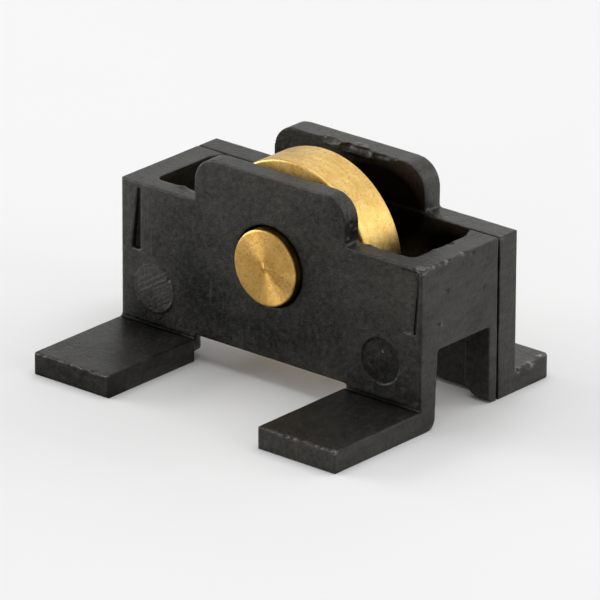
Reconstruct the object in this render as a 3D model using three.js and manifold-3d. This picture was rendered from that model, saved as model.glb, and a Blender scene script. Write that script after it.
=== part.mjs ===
// Sliding door roller: a flat-tread brass wheel on a brass axle, in a moulded housing made
// of a front half and a rear half, which stands on two long front feet and two short rear ones.
// Millimetres. +X runs along the housing, +Y from the front face to the rear face, +Z up.
// While the pieces are made the front face is at Y = 0 and the middle of the housing at X = 0.
// The finished group is moved so that its origin is the centre of its footprint on the floor.

import * as THREE from 'three';
import { mergeVertices } from 'three/addons/utils/BufferGeometryUtils.js';
import Module from 'manifold-3d';

const wasm = await Module();
wasm.setup();

// Housing as a whole
const housingLength = 27.8;
const halfLength = housingLength / 2;
const rimHeight = 12.26;
const frontDepth = 8.44;
const rearDepth = 2.02;
const bodyDepth = frontDepth + rearDepth;

// Ears beside the wheel
const earHalfLength = 6.92;
const earHeight = 3.42;
const earCorner = 1.9;
const earRoot = 0.2;
const rearEarSetback = 0.22;

// Walls of the front half
const frontWall = 1.5;
const endWall = 2.05;
const endWallAtJoint = 2.65;
const jointThickening = 1.25;
const wellCorner = 0.6;

// Opening between the legs, a little to the right of the middle
const openingLeft = -6.85;
const openingRight = 7.1;
const openingTop = 2.03;
const openingCorner = 0.12;

// Legs and feet
const legCorner = 1.85;
const legEdgeRound = 1.45;
const legHeelRound = 1.35;
const heelRound = 0.8;
const squareHeel = 0.8;
const footWidth = 7.0;
const footThickness = 1.7;
const frontFootReach = 9.24;
const rearFootReach = 3.66;
const rearFootCorner = 0.3;
const rearOpening = 6.8;
const rearOpeningTop = 3.2;
const rearLegCorner = 2.8;

// Notch through each end wall, between the front leg and the strip at the joint
const notchTop = 5.84;
const notchFrontLow = 1.52;
const notchFrontHigh = 1.85;
const notchRear = 7.48;
const notchCorner = 0.15;
const stripHeel = 0.6;
const stripCorner = 2.4;
const stripCornerTop = 2.6;

// Wheel and axle
const axleHeight = 9.01;
const axleRadius = 2.84;
const axleLength = bodyDepth;
const axleFrontEnd = -0.55;
const axleChamfer = 0.15;
const wheelRadius = 7.15;
const wheelFront = 2.39;
const wheelWidth = 3.66;
const treadChamfer = 0.12;
const hubRadius = 4.2;
const frontHubLength = 0.8;
const rearHubLength = 1.5;
const runningClearance = 0.1;
const pressGap = 0.02;
const boreLeadIn = 0.12;

// Pegs of the rear half, in sockets of the front half's end walls
const pegRadius = 0.5;
const pegLength = 2.0;
const pegHeight = 9.05;
const pegFromEnd = 1.0;
const socketClearance = 0.05;
const socketExtraDepth = 0.2;

// Round moulding marks on the front face, and a recess near each of its upper corners
const markRadius = 1.74;
const raisedMark = { fromEnd: 3.24, height: 4.57, rise: 0.08 };
const sunkMark = { fromEnd: 3.7, height: 4.56, depth: 0.12 };
const groove = { bottom: 7.2, top: 11.84, near: 1.09, far: 1.88, topWidth: 0.22, depth: 1.1 };
const recess = { bottom: 7.3, top: 12.0, far: 1.78, nearLow: 0.56, nearHigh: 0.15, depth: 0.12 };
const slit = { width: 0.3, depth: 0.8 };

// Facets, and the length by which a cutting tool runs past the face that it cuts
const arcSegments = 6;
const wheelSegments = 72;
const axleSegments = 48;
const pegSegments = 16;
const pastFace = 1;

// A closed outline through corners [across, up, radius], each corner rounded by its radius.
function outline(corners) {
  const shape = new THREE.Shape();
  corners.forEach(([across, up, radius = 0], index) => {
    const corner = new THREE.Vector2(across, up);
    const before = new THREE.Vector2(...corners.at(index - 1));
    const after = new THREE.Vector2(...corners[(index + 1) % corners.length]);
    const back = before.sub(corner).normalize();
    const ahead = after.sub(corner).normalize();
    const halfAngle = Math.acos(back.dot(ahead)) / 2;
    const start = corner.clone().addScaledVector(back, radius / Math.tan(halfAngle));
    if (index === 0) {
      shape.moveTo(start.x, start.y);
    } else {
      shape.lineTo(start.x, start.y);
    }
    if (radius > 0) {
      const bisector = back.clone().add(ahead).normalize();
      const centre = corner.clone().addScaledVector(bisector, radius / Math.sin(halfAngle));
      const end = corner.clone().addScaledVector(ahead, radius / Math.tan(halfAngle));
      const startAngle = start.clone().sub(centre).angle();
      const endAngle = end.clone().sub(centre).angle();
      const turnsRight = back.cross(ahead) > 0;
      shape.absarc(centre.x, centre.y, radius, startAngle, endAngle, turnsRight);
    }
  });
  return shape;
}

// A closed geometry as a solid that can be joined and cut.
function toSolid(geometry) {
  geometry.deleteAttribute('normal');
  geometry.deleteAttribute('uv');
  const merged = mergeVertices(geometry);
  const vertProperties = new Float32Array(merged.attributes.position.array);
  const triVerts = new Uint32Array(merged.index.array);
  return new wasm.Manifold(new wasm.Mesh({ numProp: 3, vertProperties, triVerts }));
}

// A solid as a geometry for a mesh.
function toGeometry(solid) {
  const { vertProperties, triVerts } = solid.getMesh();
  const geometry = new THREE.BufferGeometry();
  geometry.setAttribute('position', new THREE.BufferAttribute(vertProperties, 3));
  geometry.setIndex(new THREE.BufferAttribute(triVerts, 1));
  geometry.computeVertexNormals();
  return geometry;
}

function extrude(shape, depth, placement) {
  const options = { depth, bevelEnabled: false, curveSegments: arcSegments };
  const geometry = new THREE.ExtrudeGeometry(shape, options);
  geometry.applyMatrix4(placement);
  return toSolid(geometry);
}

// Prisms: the outline lies in the other two axes, in their X, Y, Z order.
function prismAlongX(shape, from, to) {
  const placement = new THREE.Matrix4().set(0, 0, 1, from, 1, 0, 0, 0, 0, 1, 0, 0, 0, 0, 0, 1);
  return extrude(shape, to - from, placement);
}

function prismAlongY(shape, from, to) {
  const placement = new THREE.Matrix4().set(1, 0, 0, 0, 0, 0, -1, to, 0, 1, 0, 0, 0, 0, 0, 1);
  return extrude(shape, to - from, placement);
}

function prismAlongZ(shape, from, to) {
  const placement = new THREE.Matrix4().makeTranslation(0, 0, from);
  return extrude(shape, to - from, placement);
}

// A turned solid about an axis along Y through x, z. The profile holds [radius, y] points.
function turned(profile, x, z, segments) {
  const points = profile.map(([radius, y]) => new THREE.Vector2(radius, y));
  const geometry = new THREE.LatheGeometry(points, segments);
  geometry.translate(x, 0, z);
  return toSolid(geometry);
}

function rod(radius, from, to, x, z, segments) {
  return turned([[0, from], [radius, from], [radius, to], [0, to]], x, z, segments);
}

function box(left, right, front, back, low, high) {
  return prismAlongZ(outline([[left, front], [right, front], [right, back], [left, back]]), low, high);
}

function joined(solids) {
  return solids.reduce((whole, solid) => whole.add(solid));
}

// The bore that the axle turns in, with a lead-in at the outer face.
function axleBore(from, to, outerFace, inward) {
  const radius = axleRadius + runningClearance;
  const mouth = radius + boreLeadIn;
  const bore = rod(radius, from, to, 0, axleHeight, axleSegments);
  const outside = [[0, outerFace - inward], [mouth + pastFace, outerFace - inward]];
  const cone = [...outside, [mouth, outerFace], [radius, outerFace + inward * boreLeadIn]];
  const tip = [0, outerFace + inward * boreLeadIn];
  const profile = [...cone, tip];
  return bore.add(turned(inward > 0 ? profile : profile.reverse(), 0, axleHeight, axleSegments));
}

// Front wall with its ear, down to the top of the opening between the legs.
function frontPanel() {
  const top = rimHeight + earHeight;
  const shape = outline([
    [-halfLength, openingTop],
    [halfLength, openingTop],
    [halfLength, rimHeight],
    [earHalfLength, rimHeight, earRoot],
    [earHalfLength, top, earCorner],
    [-earHalfLength, top, earCorner],
    [-earHalfLength, rimHeight, earRoot],
    [-halfLength, rimHeight],
  ]);
  return prismAlongY(shape, 0, frontWall);
}

// Front leg on the right: rounded at its inner lower corner, its inner rear edge and its heel.
function frontLeg(inner) {
  const elevation = outline([
    [inner, 0, legCorner],
    [halfLength, 0],
    [halfLength, openingTop],
    [inner - openingCorner, openingTop],
    [inner, openingTop - openingCorner],
  ]);
  const plan = outline([
    [inner - openingCorner, 0],
    [halfLength, 0],
    [halfLength, frontWall],
    [inner, frontWall, legEdgeRound],
    [inner, frontWall - legEdgeRound],
  ]);
  const side = outline([
    [0, 0],
    [frontWall, 0, legHeelRound],
    [frontWall, openingTop],
    [0, openingTop],
  ]);
  return prismAlongY(elevation, 0, frontWall)
    .intersect(prismAlongZ(plan, 0, openingTop))
    .intersect(prismAlongX(side, inner - openingCorner, halfLength));
}

// End wall on the right, with the notch below and the strip at the joint behind it.
function endPanel() {
  const inner = halfLength - endWall;
  const innerAtJoint = halfLength - endWallAtJoint;
  const stub = inner - 2 * wellCorner;
  const side = outline([
    [0, 0],
    [notchFrontLow, 0, heelRound],
    [notchFrontHigh, notchTop, notchCorner],
    [notchRear, notchTop, notchCorner],
    [notchRear, 0, stripHeel],
    [frontDepth, 0],
    [frontDepth, rimHeight],
    [0, rimHeight],
  ]);
  const plan = outline([
    [stub, 0],
    [halfLength, 0],
    [halfLength, frontDepth],
    [innerAtJoint, frontDepth],
    [inner, frontDepth - jointThickening],
    [inner, frontWall, wellCorner],
    [stub, frontWall],
  ]);
  const elevation = outline([
    [stub, stripCornerTop],
    [innerAtJoint, stripCornerTop],
    [innerAtJoint, 0, stripCorner],
    [halfLength, 0],
    [halfLength, rimHeight],
    [stub, rimHeight],
  ]);
  return prismAlongX(side, stub, halfLength)
    .intersect(prismAlongZ(plan, 0, rimHeight))
    .intersect(prismAlongY(elevation, 0, frontDepth));
}

function frontFoot() {
  return box(halfLength - footWidth, halfLength, -frontFootReach, 0, 0, footThickness);
}

// Tapered groove near the upper left corner of the front face.
function leftGroove() {
  const shape = outline([
    [groove.near - halfLength, groove.bottom],
    [groove.far - halfLength, groove.bottom],
    [groove.far - halfLength, groove.top],
    [groove.far - groove.topWidth - halfLength, groove.top],
  ]);
  return prismAlongY(shape, -pastFace, groove.depth);
}

// Shallow recess near the upper right corner, with a slit along its slanting outer side.
function rightRecess() {
  const left = halfLength - recess.far;
  const low = halfLength - recess.nearLow;
  const high = halfLength - recess.nearHigh;
  const floor = outline([
    [left, recess.bottom],
    [low, recess.bottom],
    [high, recess.top],
    [left, recess.top],
  ]);
  const side = outline([
    [low - slit.width, recess.bottom],
    [low, recess.bottom],
    [high, recess.top],
    [high - slit.width, recess.top],
  ]);
  return prismAlongY(floor, -pastFace, recess.depth).add(prismAlongY(side, -pastFace, slit.depth));
}

// A solid and its mirror image on the other end of the housing.
function bothEnds(solid) {
  return solid.add(solid.mirror([1, 0, 0]));
}

function frontHousing() {
  const raisedX = raisedMark.fromEnd - halfLength;
  const raised = rod(markRadius, -raisedMark.rise, frontWall / 2, raisedX, raisedMark.height, axleSegments);
  const sunkX = halfLength - sunkMark.fromEnd;
  const sunk = rod(markRadius, -pastFace, sunkMark.depth, sunkX, sunkMark.height, axleSegments);
  const socketEnd = frontDepth - pegLength - socketExtraDepth;
  const socketRadius = pegRadius + socketClearance;
  const socketX = halfLength - pegFromEnd;
  const socket = rod(socketRadius, socketEnd, frontDepth + pastFace, socketX, pegHeight, pegSegments);
  const leftLeg = frontLeg(-openingLeft).mirror([1, 0, 0]);
  const ends = bothEnds(endPanel().add(frontFoot()));
  return joined([frontPanel(), ends, leftLeg, frontLeg(openingRight), raised])
    .subtract(axleBore(-pastFace, frontWall + pastFace, 0, 1))
    .subtract(bothEnds(socket))
    .subtract(leftGroove())
    .subtract(rightRecess())
    .subtract(sunk);
}

// Rear plate with its legs; the ear is set back from the joint plane, and the heels of the legs
// are rounded except close to the ends of the housing.
function rearPanel() {
  const top = rimHeight + earHeight;
  const plate = outline([
    [-halfLength, 0],
    [-rearOpening, 0, rearLegCorner],
    [-rearOpening, rearOpeningTop, openingCorner],
    [rearOpening, rearOpeningTop, openingCorner],
    [rearOpening, 0, rearLegCorner],
    [halfLength, 0],
    [halfLength, rimHeight],
    [-halfLength, rimHeight],
  ]);
  const ear = outline([
    [-earHalfLength - earRoot, rimHeight - earRoot],
    [earHalfLength + earRoot, rimHeight - earRoot],
    [earHalfLength + earRoot, rimHeight],
    [earHalfLength, rimHeight, earRoot],
    [earHalfLength, top, earCorner],
    [-earHalfLength, top, earCorner],
    [-earHalfLength, rimHeight, earRoot],
    [-earHalfLength - earRoot, rimHeight],
  ]);
  const side = outline([
    [frontDepth, 0, heelRound],
    [bodyDepth, 0],
    [bodyDepth, top],
    [frontDepth, top],
  ]);
  const squareFrom = halfLength - squareHeel;
  const rounded = prismAlongX(side, -squareFrom, squareFrom);
  const square = bothEnds(box(squareFrom, halfLength, frontDepth, bodyDepth, 0, top));
  return prismAlongY(plate, frontDepth, bodyDepth)
    .add(prismAlongY(ear, frontDepth + rearEarSetback, bodyDepth))
    .intersect(rounded.add(square));
}

function rearFoot() {
  const shape = outline([
    [halfLength - footWidth, bodyDepth - rearDepth / 2],
    [halfLength, bodyDepth - rearDepth / 2],
    [halfLength, bodyDepth + rearFootReach, rearFootCorner],
    [halfLength - footWidth, bodyDepth + rearFootReach],
  ]);
  return prismAlongZ(shape, 0, footThickness);
}

function rearHousing() {
  const pegX = halfLength - pegFromEnd;
  const peg = rod(pegRadius, frontDepth - pegLength, bodyDepth - rearDepth / 2, pegX, pegHeight, pegSegments);
  return joined([rearPanel(), bothEnds(rearFoot()), bothEnds(peg)])
    .subtract(axleBore(frontDepth - pastFace, bodyDepth + pastFace, bodyDepth, -1));
}

// Turned wheel: flat tread with broken edges, and a hub boss on each face.
function wheel() {
  const bore = axleRadius + pressGap;
  const wheelRear = wheelFront + wheelWidth;
  const profile = [
    [bore, wheelFront - frontHubLength],
    [hubRadius, wheelFront - frontHubLength],
    [hubRadius, wheelFront],
    [wheelRadius - treadChamfer, wheelFront],
    [wheelRadius, wheelFront + treadChamfer],
    [wheelRadius, wheelRear - treadChamfer],
    [wheelRadius - treadChamfer, wheelRear],
    [hubRadius, wheelRear],
    [hubRadius, wheelRear + rearHubLength],
    [bore, wheelRear + rearHubLength],
    [bore, wheelFront - frontHubLength],
  ];
  return turned(profile, 0, axleHeight, wheelSegments);
}

function axle() {
  const rearEnd = axleFrontEnd + axleLength;
  const profile = [
    [0, axleFrontEnd],
    [axleRadius - axleChamfer, axleFrontEnd],
    [axleRadius, axleFrontEnd + axleChamfer],
    [axleRadius, rearEnd - axleChamfer],
    [axleRadius - axleChamfer, rearEnd],
    [0, rearEnd],
  ];
  return turned(profile, 0, axleHeight, axleSegments);
}

function piece(name, solid, material) {
  const mesh = new THREE.Mesh(toGeometry(solid), material);
  mesh.name = name;
  return mesh;
}

const frontPlastic = new THREE.MeshStandardMaterial({ color: 0x2b2a28, roughness: 0.55, metalness: 0 });
const rearPlastic = new THREE.MeshStandardMaterial({ color: 0x2f2e2c, roughness: 0.5, metalness: 0 });
const wheelBrass = new THREE.MeshStandardMaterial({ color: 0xc9a04e, roughness: 0.35, metalness: 1 });
const axleBrass = new THREE.MeshStandardMaterial({ color: 0xcfa551, roughness: 0.3, metalness: 1 });

const roller = new THREE.Group();
roller.add(piece('front_housing', frontHousing(), frontPlastic));
roller.add(piece('rear_housing', rearHousing(), rearPlastic));
roller.add(piece('wheel', wheel(), wheelBrass));
roller.add(piece('axle', axle(), axleBrass));
roller.position.y = (frontFootReach - bodyDepth - rearFootReach) / 2;

export default roller;
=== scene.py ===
"""Sliding door roller: the looks of the part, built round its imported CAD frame.

The two housing halves are skinned from their CAD solids with soft moulded edges, then worked
with the nicks, flash and tool marks of a real moulding. The wheel and the axle are turned
profiles. Lengths are millimetres in the part's own frame, and the scene is in metres. In that
frame +X runs along the housing, +Y from the front face to the rear face, and +Z up.
"""

import math

import bpy
import numpy as np
from mathutils import Matrix, Vector


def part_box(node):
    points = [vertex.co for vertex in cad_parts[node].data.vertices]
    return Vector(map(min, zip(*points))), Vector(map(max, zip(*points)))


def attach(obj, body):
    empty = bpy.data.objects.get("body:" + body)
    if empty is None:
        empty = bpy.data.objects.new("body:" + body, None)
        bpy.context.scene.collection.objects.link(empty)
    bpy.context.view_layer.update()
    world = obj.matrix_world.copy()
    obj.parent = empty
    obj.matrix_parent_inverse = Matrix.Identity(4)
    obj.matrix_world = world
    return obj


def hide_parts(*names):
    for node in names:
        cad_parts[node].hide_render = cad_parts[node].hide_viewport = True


MM = 0.001
X, Y, Z = 0, 1, 2

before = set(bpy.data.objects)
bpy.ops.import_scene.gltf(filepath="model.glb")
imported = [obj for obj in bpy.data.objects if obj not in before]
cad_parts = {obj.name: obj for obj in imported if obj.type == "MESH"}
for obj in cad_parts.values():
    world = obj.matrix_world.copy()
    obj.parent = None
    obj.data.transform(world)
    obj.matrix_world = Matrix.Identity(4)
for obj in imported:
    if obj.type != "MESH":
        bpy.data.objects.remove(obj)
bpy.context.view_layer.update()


# ---------------------------------------------------------------- dimensions of the CAD part
def box_mm(node):
    low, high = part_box(node)
    return np.array(low) / MM, np.array(high) / MM


wheel_low, wheel_high = box_mm("wheel")
axle_low, axle_high = box_mm("axle")
front_low, front_high = box_mm("front_housing")
rear_high = box_mm("rear_housing")[1]

AXIS_Z = (axle_low[Z] + axle_high[Z]) / 2
TREAD_RADIUS = (wheel_high[Z] - wheel_low[Z]) / 2
AXLE_RADIUS = (axle_high[Z] - axle_low[Z]) / 2
HALF_LENGTH = front_high[X]
EAR_TOP = front_high[Z]
JOINT = front_high[Y]
FRONT_FOOT_END = front_low[Y]
REAR_FOOT_END = rear_high[Y]

FRONT_FACE = -2.44
REAR_EAR_FACE = JOINT + 0.22
RIM = 12.26
FOOT_TOP = 1.7
END_WALL = 2.7
WELL_FRONT = FRONT_FACE + 1.5
WELL_END = 11.85
WHEEL_FRONT = -0.05
WHEEL_REAR = 3.61
HUB_RADIUS = 4.2

# Round marks on the front face: centre x and z, and radius.
RAISED_MARK = (-10.66, 4.57, 1.74)
SUNK_MARK = (10.2, 4.56, 1.74)


# ---------------------------------------------------------------- reading and writing meshes
def read_vectors(mesh, kind):
    """The vertices' vectors of one kind, "co" or "normal", one to a row."""
    vectors = np.empty(len(mesh.vertices) * 3, np.float32)
    mesh.vertices.foreach_get(kind, vectors)
    return vectors.reshape(-1, 3).astype(float)


def write_points(mesh, points):
    mesh.vertices.foreach_set("co", points.astype(np.float32).ravel())
    mesh.update()


def applied(obj):
    """Replaces the object's mesh with what its modifiers make of it."""
    bpy.context.view_layer.update()
    evaluated = obj.evaluated_get(bpy.context.evaluated_depsgraph_get())
    mesh = bpy.data.meshes.new_from_object(evaluated)
    obj.modifiers.clear()
    obj.data = mesh
    return mesh


def linked(name, mesh):
    piece = bpy.data.objects.new(name, mesh)
    bpy.context.scene.collection.objects.link(piece)
    return piece


# ---------------------------------------------------------------- shaping tools
WAVE_COUNT = 24
WAVE_SPREAD = (0.7, 2.2)
WAVE_PEAK = 1.6


def waves(points, seed, length):
    """A smooth random field from about -1 to 1, with bumps about one length across."""
    draw = np.random.default_rng(seed)
    field = np.zeros(len(points))
    for _ in range(WAVE_COUNT):
        direction = draw.normal(size=3)
        direction /= np.linalg.norm(direction)
        pitch = 2 * math.pi / (length * draw.uniform(*WAVE_SPREAD))
        field += np.sin(points @ direction * pitch + draw.uniform(0, 2 * math.pi))
    return field / math.sqrt(WAVE_COUNT / 2) / WAVE_PEAK


def waves_along(points, axis, seed, length):
    """Waves that change along one axis only."""
    line = np.zeros_like(points)
    line[:, axis] = points[:, axis]
    return waves(line, seed, length)


def smoothstep(value, low, high):
    t = np.clip((value - low) / (high - low), 0, 1)
    return t * t * (3 - 2 * t)


def between(place, ends, fade):
    """1 between two ends, falling to 0 over the fade length inside each."""
    return smoothstep(place, ends[0], ends[0] + fade) * smoothstep(-place, -ends[1], fade - ends[1])


EDGE_FADE = 0.5
EDGE_REACH = 1.2


def break_edge(points, along, ends, faces, size, seed, rough, grain):
    """Cuts an uneven bevel along a straight outer edge.

    along is the edge's axis and ends are its two ends there, where the bevel fades out. faces
    gives the other two axes, each with the position of its face and the outward sign. The
    bevel's size changes by about its share rough, in waves about one grain long.
    """
    reach = between(points[:, along], ends, EDGE_FADE)
    cut = size * reach * (1 + rough * waves_along(points, along, seed, grain))
    depth = np.zeros(len(points))
    near = np.ones(len(points), bool)
    inward = np.zeros(3)
    for axis, position, sign in faces:
        inside = (position - points[:, axis]) * sign
        near &= inside < EDGE_REACH
        depth += np.maximum(inside, 0)
        inward[axis] = -sign
    move = np.clip(cut - depth, 0, None) / 2
    move[~near] = 0
    return points + move[:, None] * inward


BITE_FADE = 0.8
BITE_ROUGH = 0.16
BITE_GRAIN = 0.9
BITE_LIP = 0.3
BITE_FRONT = 0.2


def bite(points, ends, depth, height, seed):
    """Tears material out of the front top edge of the rear ear, between two places along it."""
    reach = between(points[:, X], ends, BITE_FADE)
    cut = depth * reach * (1 + BITE_ROUGH * waves_along(points, X, seed, BITE_GRAIN))
    below = EAR_TOP - points[:, Z]
    torn_face = REAR_EAR_FACE + cut * smoothstep(-below, -height, -BITE_LIP * height)
    torn = (below < height) & (points[:, Y] < torn_face)
    torn &= points[:, Y] > REAR_EAR_FACE - BITE_FRONT
    points = points.copy()
    points[torn, Y] = torn_face[torn]
    return points


def dented(points, normals, dents):
    """Pushes the surface in at each dent (centre, radius, depth), or out if its depth is negative."""
    for centre, radius, depth in dents:
        away = np.linalg.norm(points - np.array(centre), axis=1)
        push = depth * np.exp(-((away / radius) ** 2) * 2)
        points = points - push[:, None] * normals
    return points


def round_corner(points, centre, signs):
    """Rounds an upright outer corner, square in plan, about an upright line at centre (x, y)."""
    out_x = (points[:, X] - centre[0]) * signs[0]
    out_y = (points[:, Y] - centre[1]) * signs[1]
    corner = (out_x > 0) & (out_y > 0)
    away = np.hypot(out_x, out_y)
    scale = np.where(corner, np.maximum(out_x, out_y) / np.maximum(away, 1e-9), 1)
    points = points.copy()
    points[:, X] = np.where(corner, centre[0] + signs[0] * out_x * scale, points[:, X])
    points[:, Y] = np.where(corner, centre[1] + signs[1] * out_y * scale, points[:, Y])
    return points


# ---------------------------------------------------------------- skin of a CAD solid
VOXEL = 0.075
SOFTENING_FACTOR = 0.5
SOFTENING_STEPS = 4
OUTWARD_LIMIT = 0.008
HOUSING_FACES = 100_000
SHARP_ANGLE = math.radians(38)


def skinned(piece):
    """Voxel skin of the piece's mesh, softened at outer edges and left crisp in inner corners."""
    skin = piece.modifiers.new("skin", "REMESH")
    skin.mode = "VOXEL"
    skin.voxel_size = VOXEL
    mesh = applied(piece)
    before = read_vectors(mesh, "co")
    normals = read_vectors(mesh, "normal")
    soften = piece.modifiers.new("soften", "SMOOTH")
    soften.factor = SOFTENING_FACTOR
    soften.iterations = SOFTENING_STEPS
    mesh = applied(piece)
    move = read_vectors(mesh, "co") - before
    outward = np.sum(move * normals, axis=1)
    move -= np.clip(outward - OUTWARD_LIMIT, 0, None)[:, None] * normals
    write_points(mesh, before + move)
    return mesh


def moulding(name, node, work):
    """A softened skin of a CAD node, shaped by work(points, normals), as a new piece."""
    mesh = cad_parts[node].data.copy()
    mesh.transform(Matrix.Scale(1 / MM, 4))
    piece = linked(name, mesh)
    mesh = skinned(piece)
    write_points(mesh, work(read_vectors(mesh, "co"), read_vectors(mesh, "normal")))
    thin = piece.modifiers.new("thin", "DECIMATE")
    thin.ratio = min(1, HOUSING_FACES / (2 * len(mesh.polygons)))
    mesh = applied(piece)
    mesh.transform(Matrix.Scale(MM, 4))
    mesh.polygons.foreach_set("use_smooth", [True] * len(mesh.polygons))
    mesh.set_sharp_from_angle(angle=SHARP_ANGLE)
    mesh.materials.clear()
    return piece


# Slow waviness of every moulded face and its finer grain: height and length of the waves.
WAVINESS = (0.005, 2.4)
GRAIN = (0.0025, 0.55)


def wavy(points, normals, seeds):
    for (height, length), seed in zip((WAVINESS, GRAIN), seeds):
        points = points + (height * waves(points, seed, length))[:, None] * normals
    return points


# The open seam between the halves: how far each joint face is drawn back, how far in from outside
# the seam goes and the share of that where it is full, and how near the joint a point is moved.
SEAM_HALF = 0.1
SEAM_REACH = 0.5
SEAM_FULL = 0.6
SEAM_NEAR = (0.06, 0.16)
SEAM_ON_TOP = (0.3, 0.1)
SEAM_CLOSING = 0.45
SEAM_ROUGH = 0.3
SEAM_GRAIN = 2.0
SEAM_SEED = 8


def part_seam(points, way):
    """Draws the joint face back along the outside, leaving a fine open seam there."""
    from_end = HALF_LENGTH - np.abs(points[:, X])
    from_top = np.where(from_end < END_WALL, RIM - points[:, Z], SEAM_REACH)
    inside = np.minimum(from_end, from_top)
    outside = smoothstep(-inside, -SEAM_REACH, -SEAM_FULL * SEAM_REACH)
    near = smoothstep(-np.abs(points[:, Y] - JOINT), -SEAM_NEAR[1], -SEAM_NEAR[0])
    on_top = smoothstep(points[:, Z], RIM - SEAM_ON_TOP[0], RIM - SEAM_ON_TOP[1])
    uneven = 1 + SEAM_ROUGH * waves(points, SEAM_SEED, SEAM_GRAIN)
    half = SEAM_HALF * (1 - SEAM_CLOSING * on_top) * uneven
    points = points.copy()
    points[:, Y] += way * half * outside * near
    return points


# ---------------------------------------------------------------- front half of the housing
ROOT_REACH = 0.16


def crisp_foot_root(points):
    """Squares up the inner corner between the front face and the tops of the front feet."""
    ahead = FRONT_FACE - points[:, Y]
    above = points[:, Z] - FOOT_TOP
    corner = (ahead > 0) & (ahead < ROOT_REACH) & (above > 0) & (above < ROOT_REACH)
    to_face = corner & (ahead < above)
    to_foot = corner & (ahead >= above)
    points = points.copy()
    points[to_face, Y] = FRONT_FACE
    points[to_foot, Z] = FOOT_TOP
    return points


# The slots of the front face: where they lie, from where their depth counts, and the share of the
# CAD's depth that is kept at their tops and lower down.
SLOT_BOTTOM = 7.2
SLOT_TOP = 11.84
SLOT_FROM_END = (0.1, 1.95)
SLOT_DEEPEST = 1.25
SLOT_ABOVE = 0.25
SLOT_BELOW = 0.1
SLOT_FADE_END = SLOT_BOTTOM + 1.6
RECESS_DEPTH = 0.13
SHARE_AT_TOP = 0.05
SHARE_GAINED = 0.25


def fade_slots(points):
    """Makes the upright slots of the front face shallow, most of all towards their tops."""
    behind = points[:, Y] - FRONT_FACE
    from_end = HALF_LENGTH - np.abs(points[:, X])
    inside = (behind > RECESS_DEPTH) & (behind < SLOT_DEEPEST)
    inside &= (from_end > SLOT_FROM_END[0]) & (from_end < SLOT_FROM_END[1])
    inside &= (points[:, Z] > SLOT_BOTTOM - SLOT_BELOW) & (points[:, Z] < SLOT_TOP + SLOT_ABOVE)
    share = SHARE_AT_TOP + SHARE_GAINED * smoothstep(-points[:, Z], -SLOT_TOP, -SLOT_FADE_END)
    points = points.copy()
    points[inside, Y] = FRONT_FACE + (RECESS_DEPTH + (behind - RECESS_DEPTH) * share)[inside]
    return points


# What is added to the CAD's round marks: change of height, lean of the streaks, height of the
# streaks, flash lips (angle of the middle, half the angle covered), and seed.
MARK_LOOKS = (
    (RAISED_MARK, -0.06, 0.56, 0.0018, ((-0.7, 0.4),), 11),
    (SUNK_MARK, 0.05, 1.5, 0.0010, ((-1.5, 0.6), (2.3, 0.4)), 12),
)
MARK_EDGE = 0.09
STREAK_COUNT = 14
STREAKS_PER_MM = (12, 26)
STREAK_PHASE = 6.3
LIP_HEIGHT = 0.025
LIP_WIDTH = 0.08
LIP_FADE = 0.25


def mark_relief(x, z):
    """Fine streaks, softened depth and faint flash lips of the two round marks."""
    rise = np.zeros(len(x))
    for (cx, cz, radius), level, lean, streak, lips, seed in MARK_LOOKS:
        dx, dz = x - cx, z - cz
        away = np.hypot(dx, dz)
        inside = smoothstep(-away, -radius - MARK_EDGE, MARK_EDGE - radius)
        rise += level * inside
        across = -dx * math.sin(lean) + dz * math.cos(lean)
        draw = np.random.default_rng(seed)
        for _ in range(STREAK_COUNT):
            pitch = draw.uniform(*STREAKS_PER_MM)
            rise += streak * inside * np.sin(across * pitch + draw.uniform(0, STREAK_PHASE))
        angle = np.arctan2(dz, dx)
        for middle, half in lips:
            turn = np.abs((angle - middle + math.pi) % (2 * math.pi) - math.pi)
            along = smoothstep(-turn, -half, LIP_FADE - half)
            rise += LIP_HEIGHT * along * np.exp(-(((away - radius) / LIP_WIDTH) ** 2))
    return rise


FACE_BAND = 0.35
FACING_FRONT = -0.6


def marked_face(points, normals):
    """Adds the marks' relief to the front face, on the points that face forward."""
    front = (points[:, Y] < FRONT_FACE + FACE_BAND) & (normals[:, Y] < FACING_FRONT)
    points = points.copy()
    points[:, Y] -= np.where(front, mark_relief(points[:, X], points[:, Z]), 0)
    return points


# Edges that a broken edge runs along: two faces, each with its axis, position and outward sign.
LEFT_CORNER = ((X, -HALF_LENGTH, -1), (Y, FRONT_FACE, -1))
RIM_FRONT = ((Y, FRONT_FACE, -1), (Z, RIM, 1))
RIM_END = ((X, HALF_LENGTH, 1), (Z, RIM, 1))
FOOT_EDGE = ((Y, FRONT_FOOT_END, -1), (Z, FOOT_TOP, 1))

# Places beyond an edge's own end, so that its bevel doesn't fade there.
PAST_END = HALF_LENGTH + 1
PAST_FOOT = HALF_LENGTH + 0.5
BEFORE_FOOT = 5.9

# Broken edges of the front half: axis, ends, edge, size, seed, roughness, grain.
FRONT_EDGES = (
    (Z, (1.5, 13), LEFT_CORNER, 0.2, 23, 0.03, 0.5),
    (X, (9.5, PAST_END), RIM_FRONT, 0.06, 21, 0.6, 0.5),
    (X, (12.9, PAST_END), RIM_FRONT, 0.2, 25, 0.5, 0.5),
    (Y, (-3, 3.6), RIM_END, 0.09, 26, 0.9, 0.7),
    (X, (-PAST_FOOT, -BEFORE_FOOT), FOOT_EDGE, 0.1, 27, 0.6, 0.5),
    (X, (BEFORE_FOOT, PAST_FOOT), FOOT_EDGE, 0.1, 27, 0.6, 0.5),
    (Y, (-3, -0.2), RIM_END, 0.16, 22, 0.5, 0.5),
)

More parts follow.
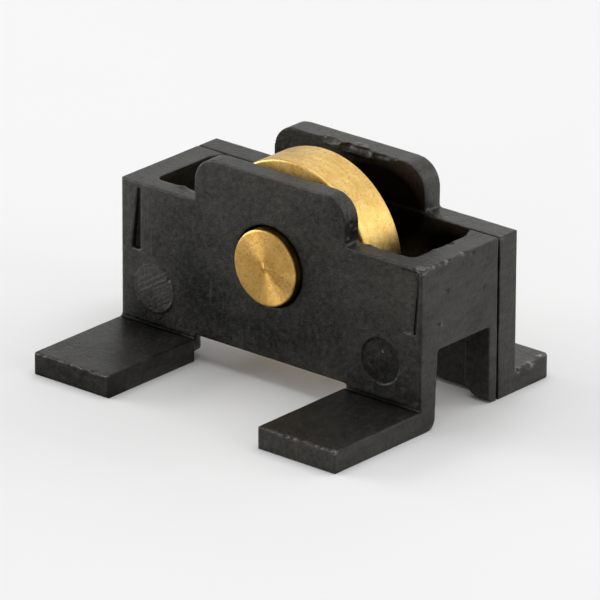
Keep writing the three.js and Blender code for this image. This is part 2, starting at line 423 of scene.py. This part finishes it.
# Dents of the front half: centre, radius, depth, which is negative for a burr.
FRONT_DENTS = (
    # pits and a burr on the right end face
    ((HALF_LENGTH, 0.28, 10.07), 0.28, 0.09),
    ((HALF_LENGTH, -0.62, 7.72), 0.17, 0.16),
    ((HALF_LENGTH, -0.32, 7.66), 0.15, -0.08),
    ((HALF_LENGTH, 3.09, 11.98), 0.24, 0.1),
    ((HALF_LENGTH, 4.3, 9.1), 0.25, 0.04),
    # flecks of the worn rim above it
    ((HALF_LENGTH, -1.95, RIM), 0.2, -0.1),
    ((HALF_LENGTH - 0.2, -1.2, RIM), 0.16, -0.08),
    ((HALF_LENGTH, 0.1, RIM), 0.16, -0.08),
    ((HALF_LENGTH, 0.7, RIM - 0.05), 0.12, -0.08),
    ((HALF_LENGTH - 1.9, 2.9, RIM), 0.3, 0.1),
    # front face, and the torn flash at the right root of the ear
    ((9.4, FRONT_FACE, 9.3), 0.2, 0.03),
    ((10.4, FRONT_FACE + 0.1, 5.33), 0.11, -0.1),
    ((6.9, FRONT_FACE + 0.3, 12.7), 0.18, -0.16),
    ((7.2, FRONT_FACE + 0.9, 12.4), 0.26, -0.18),
    ((6.95, FRONT_FACE + 1.1, 13.2), 0.18, -0.12),
    ((6.95, FRONT_FACE + 0.7, 13.8), 0.2, 0.1),
    ((RAISED_MARK[0] + 1.3, FRONT_FACE, RAISED_MARK[1] + 1.0), 0.14, 0.1),
    # uneven inner rims of the two wells
    ((8.0, WELL_FRONT, RIM), 0.3, -0.07),
    ((8.9, WELL_FRONT, RIM), 0.26, 0.06),
    ((9.7, WELL_FRONT, RIM), 0.3, -0.08),
    ((10.6, WELL_FRONT, RIM), 0.24, 0.05),
    ((WELL_END - 0.1, 1.2, RIM), 0.4, -0.08),
    ((WELL_END - 0.2, 2.2, RIM), 0.34, 0.1),
    ((WELL_END - 0.3, 3.4, RIM), 0.4, -0.08),
    ((-8.0, WELL_FRONT, RIM), 0.4, 0.08),
    ((-9.2, WELL_FRONT, RIM), 0.5, -0.1),
)


def work_front(points, normals):
    """The front half: mould marks, worn rims, pits, nicks and flash."""
    points = wavy(points, normals, (1, 2))
    points = crisp_foot_root(points)
    points = fade_slots(points)
    points = marked_face(points, normals)
    for edge in FRONT_EDGES:
        points = break_edge(points, *edge)
    points = dented(points, normals, FRONT_DENTS)
    return part_seam(points, -1)


# ---------------------------------------------------------------- rear half of the housing
# The rear feet reach a little further than the CAD, with rounded outer corners. The stretch comes
# in between two distances short of the CAD's foot end.
FOOT_STRETCH = 0.32
FOOT_STRETCHED = (2.4, 0.8)
FOOT_CORNER = 0.62

# Broken edges, bites and dents of the rear half. A bite has its ends, depth, height and seed.
EAR_EDGE = ((Y, REAR_EAR_FACE, -1), (Z, EAR_TOP, 1))
REAR_EDGES = (
    (X, (-2.9, -0.6), EAR_EDGE, 0.3, 31, 0.2, 1.5),
    (X, (-1.0, 4.6), EAR_EDGE, 0.1, 32, 0.4, 0.7),
)
REAR_BITES = (
    ((-0.9, 2.3), 0.32, 0.6, 33),
    ((2.1, 4.1), 0.12, 0.4, 34),
)
REAR_DENTS = (
    ((-2.4, REAR_EAR_FACE + 0.3, EAR_TOP), 0.2, -0.08),
    ((0.5, REAR_EAR_FACE + 0.6, EAR_TOP), 0.2, -0.05),
    ((7.1, REAR_EAR_FACE + 0.3, RIM + 0.1), 0.3, -0.12),
    ((HALF_LENGTH, 8.3, FOOT_TOP), 0.2, -0.07),
    ((HALF_LENGTH, 9.6, FOOT_TOP), 0.24, -0.05),
    ((HALF_LENGTH - 0.3, 10.9, FOOT_TOP), 0.22, -0.05),
)


def work_rear(points, normals):
    """The rear half: longer feet, the torn edge of its ear, and burrs at its root and foot."""
    points = wavy(points, normals, (3, 4))
    stretch_from = REAR_FOOT_END - FOOT_STRETCHED[0]
    stretch_to = REAR_FOOT_END - FOOT_STRETCHED[1]
    points[:, Y] += FOOT_STRETCH * smoothstep(points[:, Y], stretch_from, stretch_to)
    for side in (1, -1):
        centre = (side * (HALF_LENGTH - FOOT_CORNER), REAR_FOOT_END + FOOT_STRETCH - FOOT_CORNER)
        points = round_corner(points, centre, (side, 1))
    for edge in REAR_EDGES:
        points = break_edge(points, *edge)
    for ends, depth, height, seed in REAR_BITES:
        points = bite(points, ends, depth, height, seed)
    points = dented(points, normals, REAR_DENTS)
    return part_seam(points, 1)


# ---------------------------------------------------------------- turned wheel and axle
def arc(centre, radius, start, end, steps=6):
    """Points [r, y] of an arc, angles in degrees from +r towards +y."""
    turns = np.radians(np.linspace(start, end, steps))
    return [(centre[0] + radius * math.cos(t), centre[1] + radius * math.sin(t)) for t in turns]


def spread(start, end, step):
    """Points from start to end, about a step apart, without either end."""
    count = max(2, round(math.dist(start, end) / step))
    return [
        tuple(np.array(start) + (np.array(end) - np.array(start)) * i / count)
        for i in range(1, count)
    ]


def turned(name, profile, segments):
    """A closed turned piece about the axle's axis. The profile holds [radius, y] points."""
    verts, faces, rings = [], [], []
    for radius, y in profile:
        if radius == 0:
            rings.append([len(verts)])
            verts.append((0.0, y * MM, AXIS_Z * MM))
            continue
        rings.append(list(range(len(verts), len(verts) + segments)))
        for step in range(segments):
            turn = 2 * math.pi * step / segments
            x = radius * math.sin(turn)
            z = AXIS_Z + radius * math.cos(turn)
            verts.append((x * MM, y * MM, z * MM))
    for ring, after in zip(rings, rings[1:]):
        for step in range(segments):
            onward = (step + 1) % segments
            corners = [ring[step % len(ring)], ring[onward % len(ring)]]
            corners += [after[onward % len(after)], after[step % len(after)]]
            faces.append(list(dict.fromkeys(corners)))
    mesh = bpy.data.meshes.new(name)
    mesh.from_pydata(verts, [], faces)
    mesh.polygons.foreach_set("use_smooth", [True] * len(mesh.polygons))
    mesh.update()
    return linked(name, mesh)


WHEEL_SEGMENTS = 256
TREAD_FRONT_EDGE = 0.18
TREAD_REAR_EDGE = 0.13
HUB_EDGE = 0.08
HUB_FILLET = 0.15
BORE_GAP = 0.02
BORE_EDGE = 0.1
FACE_STEP = 0.1
TREAD_STEP = 0.12


def wheel_profile():
    """The wheel from bore to bore: hub, face, tread, face, hub, with broken edges."""
    bore = AXLE_RADIUS + BORE_GAP
    low, high = wheel_low[Y], wheel_high[Y]
    mouth = (bore + BORE_EDGE, low)
    fillet = HUB_RADIUS + HUB_FILLET
    front_shoulder = (TREAD_RADIUS - TREAD_FRONT_EDGE, WHEEL_FRONT + TREAD_FRONT_EDGE)
    rear_shoulder = (TREAD_RADIUS - TREAD_REAR_EDGE, WHEEL_REAR - TREAD_REAR_EDGE)
    profile = [mouth, *arc((HUB_RADIUS - HUB_EDGE, low + HUB_EDGE), HUB_EDGE, -90, 0)]
    profile += arc((fillet, WHEEL_FRONT - HUB_FILLET), HUB_FILLET, 180, 90)
    profile += spread((fillet, WHEEL_FRONT), (front_shoulder[0], WHEEL_FRONT), FACE_STEP)
    profile += arc(front_shoulder, TREAD_FRONT_EDGE, -90, 0, 10)
    profile += spread((TREAD_RADIUS, front_shoulder[1]), (TREAD_RADIUS, rear_shoulder[1]), TREAD_STEP)
    profile += arc(rear_shoulder, TREAD_REAR_EDGE, 0, 90, 8)
    profile += spread((rear_shoulder[0], WHEEL_REAR), (fillet, WHEEL_REAR), FACE_STEP)
    profile += arc((fillet, WHEEL_REAR + HUB_FILLET), HUB_FILLET, -90, -180)
    profile += arc((HUB_RADIUS - HUB_EDGE, high - HUB_EDGE), HUB_EDGE, 0, 90)
    profile += [(bore + BORE_EDGE, high), (bore, high - BORE_EDGE), (bore, low + BORE_EDGE), mouth]
    return profile


AXLE_SEGMENTS = 160
AXLE_EDGE = 0.16
END_SET_BACK = 0.06
END_STEP = 0.06
PIP_HEIGHT = 0.035
PIP_RADIUS = 0.2
PIP_TIP = 0.005
GROOVE_DEPTH = 0.012
GROOVE_RADIUS = 0.4
GROOVE_WIDTH = 0.16
# Faint rings of the facing cut: height, and turns of the wave for each millimetre of radius.
END_RINGS = ((0.0012, 17), (0.0008, 37))


def axle_end(y, out):
    """Half an end face, from the middle to the corner; out is -1 in front and 1 behind."""
    points = [(0, y + out * -PIP_TIP)]
    for radius in np.arange(END_STEP, AXLE_RADIUS - AXLE_EDGE - END_STEP / 2, END_STEP):
        pip = PIP_HEIGHT * math.exp(-((radius / PIP_RADIUS) ** 2))
        groove = GROOVE_DEPTH * math.exp(-(((radius - GROOVE_RADIUS) / GROOVE_WIDTH) ** 2))
        rings = sum(height * math.sin(radius * pitch) for height, pitch in END_RINGS)
        points.append((radius, y + out * (pip - groove + rings - END_SET_BACK)))
    return points


def axle_profile():
    """The axle: faced ends with fine rings and a parting pip, and rounded corners."""
    low, high = axle_low[Y], axle_high[Y]
    corner = AXLE_RADIUS - AXLE_EDGE
    profile = axle_end(low, -1)
    profile += arc((corner, low + END_SET_BACK + AXLE_EDGE), AXLE_EDGE, -90, 0, 7)
    profile += arc((corner, high - END_SET_BACK - AXLE_EDGE), AXLE_EDGE, 0, 90, 7)
    profile += axle_end(high, 1)[::-1]
    return profile


# ---------------------------------------------------------------- shader nodes
def new_material(name):
    material = bpy.data.materials.new(name)
    material.use_nodes = True
    tree = material.node_tree
    shader = tree.nodes["Principled BSDF"]
    coords = tree.nodes.new("ShaderNodeTexCoord")
    return material, tree, shader, coords.outputs["Object"]


def stretched(tree, vector, scale, turn=(0, 0, 0)):
    mapping = tree.nodes.new("ShaderNodeMapping")
    mapping.inputs["Scale"].default_value = scale
    mapping.inputs["Rotation"].default_value = turn
    tree.links.new(vector, mapping.inputs["Vector"])
    return mapping.outputs["Vector"]


def noise(tree, vector, per_mm, detail, rough):
    node = tree.nodes.new("ShaderNodeTexNoise")
    node.inputs["Scale"].default_value = per_mm / MM
    node.inputs["Detail"].default_value = detail
    node.inputs["Roughness"].default_value = rough
    tree.links.new(vector, node.inputs["Vector"])
    return node.outputs["Fac"]


def ramp(tree, value, stops):
    """A colour or grey ramp; each stop is a position and a grey value or an RGB colour."""
    node = tree.nodes.new("ShaderNodeValToRGB")
    for element, (position, colour) in zip(node.color_ramp.elements, stops, strict=True):
        element.position = position
        rgb = colour if isinstance(colour, tuple) else (colour,) * 3
        element.color = (*rgb, 1)
    tree.links.new(value, node.inputs["Fac"])
    return node.outputs["Color"]


def mix(tree, factor, first, second):
    """The first value or colour, turning into the second as the factor goes from 0 to 1."""
    node = tree.nodes.new("ShaderNodeMix")
    node.data_type = "RGBA"
    for socket, value in ((0, factor), (6, first), (7, second)):
        if isinstance(value, (int, float)):
            node.inputs[socket].default_value = value
        elif isinstance(value, tuple):
            node.inputs[socket].default_value = (*value, 1)
        else:
            tree.links.new(value, node.inputs[socket])
    return node.outputs[2]


def math_node(tree, operation, first, second):
    node = tree.nodes.new("ShaderNodeMath")
    node.operation = operation
    for socket, value in enumerate((first, second)):
        if isinstance(value, (int, float)):
            node.inputs[socket].default_value = value
        else:
            tree.links.new(value, node.inputs[socket])
    return node.outputs[0]


def bump(tree, height, distance_mm, strength, under=None):
    node = tree.nodes.new("ShaderNodeBump")
    node.inputs["Strength"].default_value = strength
    node.inputs["Distance"].default_value = distance_mm * MM
    tree.links.new(height, node.inputs["Height"])
    if under is not None:
        tree.links.new(under, node.inputs["Normal"])
    return node.outputs["Normal"]


def patch(tree, place, centre, radius, edge):
    """A round patch: 1 inside the radius about a centre, fading to 0 over the edge width."""
    away = tree.nodes.new("ShaderNodeVectorMath")
    away.operation = "DISTANCE"
    away.inputs[1].default_value = tuple(c * MM for c in centre)
    tree.links.new(place, away.inputs[0])
    fade = tree.nodes.new("ShaderNodeMapRange")
    fade.inputs["From Min"].default_value = (radius + edge / 2) * MM
    fade.inputs["From Max"].default_value = (radius - edge / 2) * MM
    tree.links.new(away.outputs["Value"], fade.inputs["Value"])
    return fade.outputs["Result"]


def drawn_patch(tree, place, centre, radius, edge, stretch):
    """A patch drawn out along x, its length there stretch times its radius."""
    squeezed = stretched(tree, place, (1 / stretch, 1, 1))
    return patch(tree, squeezed, (centre[X] / stretch, centre[Y], centre[Z]), radius, edge)


def off_axis(tree, place):
    """Distance from the axle's line, in metres."""
    shifted = tree.nodes.new("ShaderNodeVectorMath")
    shifted.operation = "SUBTRACT"
    shifted.inputs[1].default_value = (0, 0, AXIS_Z * MM)
    tree.links.new(place, shifted.inputs[0])
    flat = tree.nodes.new("ShaderNodeVectorMath")
    flat.operation = "MULTIPLY"
    flat.inputs[1].default_value = (1, 0, 1)
    tree.links.new(shifted.outputs["Vector"], flat.inputs[0])
    length = tree.nodes.new("ShaderNodeVectorMath")
    length.operation = "LENGTH"
    tree.links.new(flat.outputs["Vector"], length.inputs[0])
    return length.outputs["Value"]


# ---------------------------------------------------------------- black plastic
PLASTIC_DARK = (0.0008, 0.0007, 0.0005)
PLASTIC_LIGHT = (0.0110, 0.0104, 0.0088)
PLASTIC_PALE = (0.040, 0.039, 0.035)
PLASTIC_SCUFFED = (0.06, 0.058, 0.052)
PLASTIC_WORN = (0.30, 0.29, 0.27)
PLASTIC_TINT = (1.0, 0.97, 0.86, 1)
PLASTIC_IOR = 1.48
ROUGHNESS_RANGE = 0.4
STREAK_SHARE = 0.35
STREAK_STRETCH = (1.0, 0.2, 1.0)
CLOUD_SHARE = 0.22
SCRATCH_STRETCH = (1.0, 1.0, 0.1)
SCRATCH_LEAN = (0, 0.95, 0)
# Shine left in the patches of painted shade.
PAINTED_SHADE_SHINE = (0.03, 0.03, 0.03)


def plastic(name, roughness, worn, painted_shade, scuffed, discs):
    """Moulded black plastic: cloudy flow marks, a fine mottle, drawn streaks and scratches.

    worn lists spots (centre, radius) where the plastic is whitened. The argument for painted
    shade lists dark, unshining patches (centre, radius, edge, stretch), and scuffed lists greyed
    ones (centre, radius, stretch), drawn out along x by their stretch. discs lists round patches
    (centre, radius, edge, amount), paler or, if the amount is negative, darker; apart from the
    two round marks they are painted light and painted shade.
    """
    material, tree, shader, place = new_material(name)
    drawn = stretched(tree, place, STREAK_STRETCH)
    leaning = stretched(tree, place, SCRATCH_STRETCH, SCRATCH_LEAN)
    cloud = noise(tree, place, per_mm=0.35, detail=3, rough=0.6)
    mottle = noise(tree, place, per_mm=2.7, detail=5, rough=0.78)
    grain = noise(tree, place, per_mm=8, detail=2, rough=0.6)
    streak = noise(tree, drawn, per_mm=2.6, detail=3, rough=0.6)
    scratch = noise(tree, leaning, per_mm=2.0, detail=2, rough=0.5)
    blotch = noise(tree, place, per_mm=3.5, detail=3, rough=0.7)
    shade = mix(tree, CLOUD_SHARE, mix(tree, STREAK_SHARE, mottle, streak), cloud)
    # round patches added to the tone: the round marks, and painted light and painted shade
    for centre, radius, edge, amount in discs:
        weight = math_node(tree, "MULTIPLY", patch(tree, place, centre, radius, edge), amount)
        shade = math_node(tree, "ADD", shade, weight)
    colour = ramp(tree, shade, ((0.36, PLASTIC_DARK), (0.64, PLASTIC_LIGHT)))
    colour = mix(tree, ramp(tree, mottle, ((0.6, 0.0), (0.8, 0.5))), colour, PLASTIC_PALE)
    colour = mix(tree, ramp(tree, scratch, ((0.64, 0.0), (0.74, 0.5))), colour, PLASTIC_PALE)
    blotch = ramp(tree, blotch, ((0.46, 0.0), (0.6, 1.0)))
    for centre, radius in worn:
        spot = patch(tree, place, centre, radius / 2, radius)
        colour = mix(tree, math_node(tree, "MULTIPLY", spot, blotch), colour, PLASTIC_WORN)
    for centre, radius, stretch in scuffed:
        scuff = drawn_patch(tree, place, centre, radius, radius, stretch)
        colour = mix(tree, math_node(tree, "MULTIPLY", scuff, blotch), colour, PLASTIC_SCUFFED)
    shine = ramp(tree, shade, ((0.3, 0.2), (0.7, 0.8)))
    # painted shade: patches darkened and made unshining where shade falls
    for centre, radius, edge, stretch in painted_shade:
        shadow = drawn_patch(tree, place, centre, radius, edge, stretch)
        shine = mix(tree, shadow, shine, PAINTED_SHADE_SHINE)
        colour = mix(tree, shadow, colour, PLASTIC_DARK)
    tree.links.new(colour, shader.inputs["Base Color"])
    tree.links.new(shine, shader.inputs["Specular IOR Level"])
    rough = math_node(tree, "MULTIPLY", mottle, ROUGHNESS_RANGE)
    rough = math_node(tree, "ADD", rough, roughness - ROUGHNESS_RANGE / 2)
    tree.links.new(rough, shader.inputs["Roughness"])
    shader.inputs["IOR"].default_value = PLASTIC_IOR
    shader.inputs["Specular Tint"].default_value = PLASTIC_TINT
    coarse = bump(tree, mottle, distance_mm=0.06, strength=0.9)
    middle = bump(tree, streak, distance_mm=0.02, strength=0.7, under=coarse)
    fine = bump(tree, grain, distance_mm=0.014, strength=0.9, under=middle)
    tree.links.new(fine, shader.inputs["Normal"])
    return material


FRONT_WORN = (
    ((HALF_LENGTH - 0.3, FRONT_FACE + 0.3, RIM), 0.6),
    ((HALF_LENGTH - 0.1, -1.2, RIM), 0.35),
    ((HALF_LENGTH, 0.3, RIM), 0.4),
    ((HALF_LENGTH - 0.1, 2.0, RIM), 0.3),
    ((10.4, FRONT_FACE, 5.33), 0.16),
    ((HALF_LENGTH, -0.3, 7.66), 0.16),
    ((HALF_LENGTH - 0.1, FRONT_FOOT_END + 0.1, FOOT_TOP), 0.35),
)
# Painted shade at the roots of the two front feet, and in the bore round the axle.
FRONT_PAINTED_SHADE = (
    ((-10.1, FRONT_FACE - 0.05, FOOT_TOP + 0.05), 0.22, 0.22, 18),
    ((10.1, FRONT_FACE - 0.05, FOOT_TOP + 0.05), 0.22, 0.22, 18),
    ((0, FRONT_FACE + 0.9, AXIS_Z), AXLE_RADIUS + 0.35, 0.15, 1),
)
FRONT_SCUFFED = (
    ((-10.0, FRONT_FOOT_END, FOOT_TOP), 0.22, 16),
    ((10.2, FRONT_FOOT_END, FOOT_TOP), 0.22, 16),
)
FRONT_MARKS_AND_PAINTED_LIGHT = (
    # the round marks
    ((RAISED_MARK[0], FRONT_FACE, RAISED_MARK[1]), RAISED_MARK[2], 0.1, 0.13),
    ((SUNK_MARK[0], FRONT_FACE, SUNK_MARK[1]), SUNK_MARK[2], 0.1, -0.1),
    # paler patches near the two ends of the front face: painted light down the lit wall of the shallow
    # right slot, and a faint paler patch near the left end
    ((12.4, FRONT_FACE, 8.3), 0.5, 0.8, 0.14),
    ((12.45, FRONT_FACE, 9.6), 0.55, 0.8, 0.14),
    ((12.5, FRONT_FACE, 10.9), 0.6, 0.8, 0.12),
    ((-13.4, FRONT_FACE, 10.6), 0.6, 0.8, 0.03),
    # painted shade: darker patches over the front face and the right of its ear
    ((-11.5, FRONT_FACE, 1.8), 2.2, 2.5, -0.16),
    ((9.0, FRONT_FACE, 1.8), 2.2, 2.5, -0.08),
    ((12.6, FRONT_FACE, 2.4), 1.2, 1.4, -0.08),
    ((-5.8, FRONT_FACE, 4.6), 2.4, 2.6, -0.13),
    ((4.5, FRONT_FACE, 5.0), 2.0, 2.6, -0.08),
    ((0.0, FRONT_FACE, 4.0), 2.2, 2.4, -0.08),
    ((-7.6, FRONT_FACE, 8.4), 2.8, 3.2, -0.08),
    ((5.9, FRONT_FACE, 13.8), 1.4, 2.0, -0.07),
    # painted light and shade on the ends of the front feet, painted shade on the left foot's top, and
    # painted light on the left rim
    ((-10.4, FRONT_FOOT_END, 0.85), 3.2, 1.6, 0.1),
    ((10.4, FRONT_FOOT_END, 0.85), 3.2, 1.6, -0.03),
    ((-10.4, FRONT_FOOT_END + 0.6, FOOT_TOP), 2.6, 3.0, -0.12),
    ((-13.0, 1.8, RIM), 4.5, 3.0, 0.07),
)

REAR_WORN = (
    ((-2.4, REAR_EAR_FACE + 0.35, EAR_TOP), 0.26),
    ((-1.1, REAR_EAR_FACE + 0.4, EAR_TOP), 0.16),
    ((0.3, REAR_EAR_FACE + 0.6, EAR_TOP), 0.3),
    ((1.1, REAR_EAR_FACE + 0.65, EAR_TOP), 0.3),
    ((7.1, REAR_EAR_FACE + 0.3, RIM + 0.1), 0.3),
    ((HALF_LENGTH, JOINT + 0.3, RIM), 0.35),
    ((HALF_LENGTH, 8.3, FOOT_TOP), 0.5),
    ((HALF_LENGTH, 9.7, FOOT_TOP), 0.6),
    ((HALF_LENGTH - 0.4, 11.2, FOOT_TOP), 0.5),
)
# Painted shade under the torn edge, on the ledge at the ear's foot, on the ear's inner face, and
# on the well's wall. The third is centred in front of the ear, so that it stops short of the rear
# face.
REAR_PAINTED_SHADE = (
    ((0.7, REAR_EAR_FACE, EAR_TOP - 0.62), 0.2, 0.3, 7),
    ((0, REAR_EAR_FACE - 0.15, RIM), 0.3, 0.06, 21),
    ((2.6, REAR_EAR_FACE - 3.0, 12.3), 4.3, 0.9, 1.6),
    ((9.5, JOINT, 10.5), 1.3, 1.0, 2.2),
)
# Painted light: paler tops of the rear ear and of the right rim.
REAR_PAINTED_LIGHT = (
    ((0, 7.3, EAR_TOP), 7.0, 3.0, 0.06),
    ((10.5, 7.3, RIM), 3.5, 3.0, 0.05),
)


# ---------------------------------------------------------------- brass
# Colour of the painted shade on the axle's side, within its bore.
AXLE_SIDE_SHADE = (0.03, 0.016, 0.006)
STAIN_DARKNESS = 0.4
RUB_SHARE = 0.4
RUB_STRETCH = (0.12, 1.0, 0.12)
MATT_ROUGHENING = 0.2
RUB_ROUGHENING = 0.1
CLOUD_ROUGHENING = 0.2


def brass(name, colour, pale, roughness, anisotropy, speckle, matt_radius=None, side_shade_radius=None):
    """Turned brass: rubbed bands, dark specks and slight tarnish.

    It is more matt within matt_radius of the axle's line. Past the side-shade radius its colour
    is darkened with painted shade, the shade on the axle's side within its bore.
    """
    material, tree, shader, place = new_material(name)
    cloud = noise(tree, place, per_mm=0.9, detail=5, rough=0.7)
    rub = noise(tree, stretched(tree, place, RUB_STRETCH), per_mm=2.4, detail=4, rough=0.65)
    speck = noise(tree, place, per_mm=4.6, detail=5, rough=0.7)
    grain = noise(tree, place, per_mm=11, detail=2, rough=0.6)
    tint = ramp(tree, mix(tree, RUB_SHARE, cloud, rub), ((0.38, colour), (0.62, pale)))
    stain = ramp(tree, speck, ((0.34, speckle), (0.48, 0.0)))
    stained = mix(tree, stain, tint, tuple(STAIN_DARKNESS * c for c in colour))
    # painted shade: past the given radius the axle's side darkens towards a near-black brown
    if side_shade_radius is not None:
        past = math_node(tree, "DIVIDE", off_axis(tree, place), side_shade_radius * MM)
        side_shade = ramp(tree, past, ((0.97, 0.0), (1.0, 0.95)))
        stained = mix(tree, side_shade, stained, AXLE_SIDE_SHADE)
    tree.links.new(stained, shader.inputs["Base Color"])
    shader.inputs["Metallic"].default_value = 1.0
    rough = math_node(tree, "MULTIPLY", cloud, CLOUD_ROUGHENING)
    rough = math_node(tree, "ADD", rough, roughness - CLOUD_ROUGHENING / 2)
    rough = math_node(tree, "ADD", rough, math_node(tree, "MULTIPLY", rub, RUB_ROUGHENING))
    if matt_radius is not None:
        within = math_node(tree, "LESS_THAN", off_axis(tree, place), matt_radius * MM)
        rough = math_node(tree, "ADD", rough, math_node(tree, "MULTIPLY", within, MATT_ROUGHENING))
    tree.links.new(rough, shader.inputs["Roughness"])
    shader.inputs["Anisotropic"].default_value = anisotropy
    shader.inputs["Anisotropic Rotation"].default_value = 0.25
    tangent = tree.nodes.new("ShaderNodeTangent")
    tangent.direction_type = "RADIAL"
    tangent.axis = "Y"
    tree.links.new(tangent.outputs["Tangent"], shader.inputs["Tangent"])
    pitted = bump(tree, speck, distance_mm=0.03, strength=0.7)
    fine = bump(tree, grain, distance_mm=0.01, strength=0.8, under=pitted)
    tree.links.new(fine, shader.inputs["Normal"])
    return material


# ---------------------------------------------------------------- pieces
def place_piece(piece, material, node, body):
    piece.data.materials.append(material)
    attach(piece, body)
    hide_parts(node)


place_piece(
    moulding("front_moulding", "front_housing", work_front),
    plastic(
        "front_plastic_look",
        roughness=0.4,
        worn=FRONT_WORN,
        painted_shade=FRONT_PAINTED_SHADE,
        scuffed=FRONT_SCUFFED,
        discs=FRONT_MARKS_AND_PAINTED_LIGHT,
    ),
    "front_housing",
    "housing",
)
place_piece(
    moulding("rear_moulding", "rear_housing", work_rear),
    plastic(
        "rear_plastic_look",
        roughness=0.38,
        worn=REAR_WORN,
        painted_shade=REAR_PAINTED_SHADE,
        scuffed=(),
        discs=REAR_PAINTED_LIGHT,
    ),
    "rear_housing",
    "housing",
)
place_piece(
    turned("turned_wheel", wheel_profile(), WHEEL_SEGMENTS),
    brass(
        "wheel_brass_look",
        colour=(0.74, 0.45, 0.12),
        pale=(0.91, 0.65, 0.24),
        roughness=0.37,
        anisotropy=0.3,
        speckle=0.5,
        matt_radius=TREAD_RADIUS - 0.1,
    ),
    "wheel",
    "wheel_set",
)
place_piece(
    turned("turned_axle", axle_profile(), AXLE_SEGMENTS),
    brass(
        "axle_brass_look",
        colour=(0.69, 0.375, 0.085),
        pale=(0.89, 0.57, 0.18),
        roughness=0.36,
        anisotropy=0.84,
        speckle=0.5,
        side_shade_radius=AXLE_RADIUS,
    ),
    "axle",
    "wheel_set",
)


# ---------------------------------------------------------------- floor, light and camera
PAPER_ROUGHNESS = 0.9
FLOOR_HALF = 6.0
FLOOR_GREY = (0.86, 0.88)
CARD_HEIGHT = 0.02

# Cards: name, left, right, front and back in millimetres, and grey.
CARDS = (
    ("far_card", -28, -5, -33, -20, 0.42),
    ("middle_card", -26, 5, -20, -9.5, 0.22),
    ("near_card", -6.5, 5, -9.5, -2.5, 0.42),
)

# Softboxes: name, place in metres, width and height in metres, and brightness of the face.
SOFTBOXES = (
    ("top_softbox", (0.0, 0.2, 1.6), 1.6, 1.6, 1.5),
    ("back_softbox", (0.1, 1.5, 0.5), 3.2, 1.0, 1.04),
    ("right_softbox", (0.8, 1.0, 0.6), 0.6, 0.5, 1.9),
    ("left_softbox", (-1.15, -0.42, 0.26), 0.9, 0.45, 7.9),
    ("side_softbox", (1.3, 0.1, 0.5), 0.7, 0.7, 1.5),
)


def paper_sheet(name, corners, greys):
    """A level sheet of matt paper, its corners in metres, faintly cloudy between two greys."""
    mesh = bpy.data.meshes.new(name)
    mesh.from_pydata(corners, [], [(0, 1, 2, 3)])
    sheet = linked(name, mesh)
    material, tree, shader, place = new_material(name + "_paper")
    cloud = noise(tree, place, per_mm=0.02, detail=2, rough=0.55)
    shade = ramp(tree, cloud, ((0.3, greys[0]), (0.7, greys[1])))
    tree.links.new(shade, shader.inputs["Base Color"])
    shader.inputs["Roughness"].default_value = PAPER_ROUGHNESS
    mesh.materials.append(material)
    return sheet


def level_corners(left, right, front, back, height):
    return [(left, front, height), (right, front, height), (right, back, height), (left, back, height)]


def make_shade_card(name, left, right, front, back, grey):
    """A grey card just above the floor, seen only in reflections: it shades the front face."""
    corners = level_corners(left * MM, right * MM, front * MM, back * MM, CARD_HEIGHT * MM)
    card = paper_sheet(name, corners, (grey, grey * 1.05))
    card.visible_camera = False
    card.visible_diffuse = False
    card.visible_shadow = False


def area_light(name, place, width, height, radiance):
    """A softbox aimed at the origin, with the brightness of its face given."""
    data = bpy.data.lights.new(name, "AREA")
    data.shape = "RECTANGLE"
    data.size = width
    data.size_y = height
    data.energy = radiance * math.pi * width * height
    light = bpy.data.objects.new(name, data)
    light.location = place
    light.rotation_euler = (-Vector(place)).to_track_quat("-Z", "Y").to_euler()
    bpy.context.scene.collection.objects.link(light)


def make_world(strength):
    world = bpy.data.worlds.new("studio")
    world.use_nodes = True
    background = world.node_tree.nodes["Background"]
    background.inputs["Color"].default_value = (1, 1, 1, 1)
    background.inputs["Strength"].default_value = strength
    bpy.context.scene.world = world


def make_camera(azimuth, elevation, roll, distance, aim, lens):
    """A camera aimed at a point; angles in degrees, distance, aim and lens in millimetres."""
    a, e = math.radians(azimuth), math.radians(elevation)
    back = Vector((math.sin(a) * math.cos(e), -math.cos(a) * math.cos(e), math.sin(e)))
    data = bpy.data.cameras.new("camera")
    data.sensor_width = 36
    data.lens = lens
    data.clip_start = 0.02
    data.clip_end = 30
    camera = bpy.data.objects.new("camera", data)
    turn = (-back).to_track_quat("-Z", "Y").to_matrix() @ Matrix.Rotation(math.radians(roll), 3, "Z")
    camera.matrix_world = Matrix.Translation((Vector(aim) + back * distance) * MM) @ turn.to_4x4()
    bpy.context.scene.collection.objects.link(camera)
    bpy.context.scene.camera = camera


paper_sheet("floor", level_corners(-FLOOR_HALF, FLOOR_HALF, -FLOOR_HALF, FLOOR_HALF, 0), FLOOR_GREY)
for card in CARDS:
    make_shade_card(*card)
make_world(strength=0.42)
for softbox in SOFTBOXES:
    area_light(*softbox)
make_camera(
    azimuth=40.24,
    elevation=21.80,
    roll=0.25,
    distance=578.9,
    aim=(0.28, 0.62, 5.64),
    lens=492.7,
)
bpy.context.scene.view_settings.view_transform = "Standard"
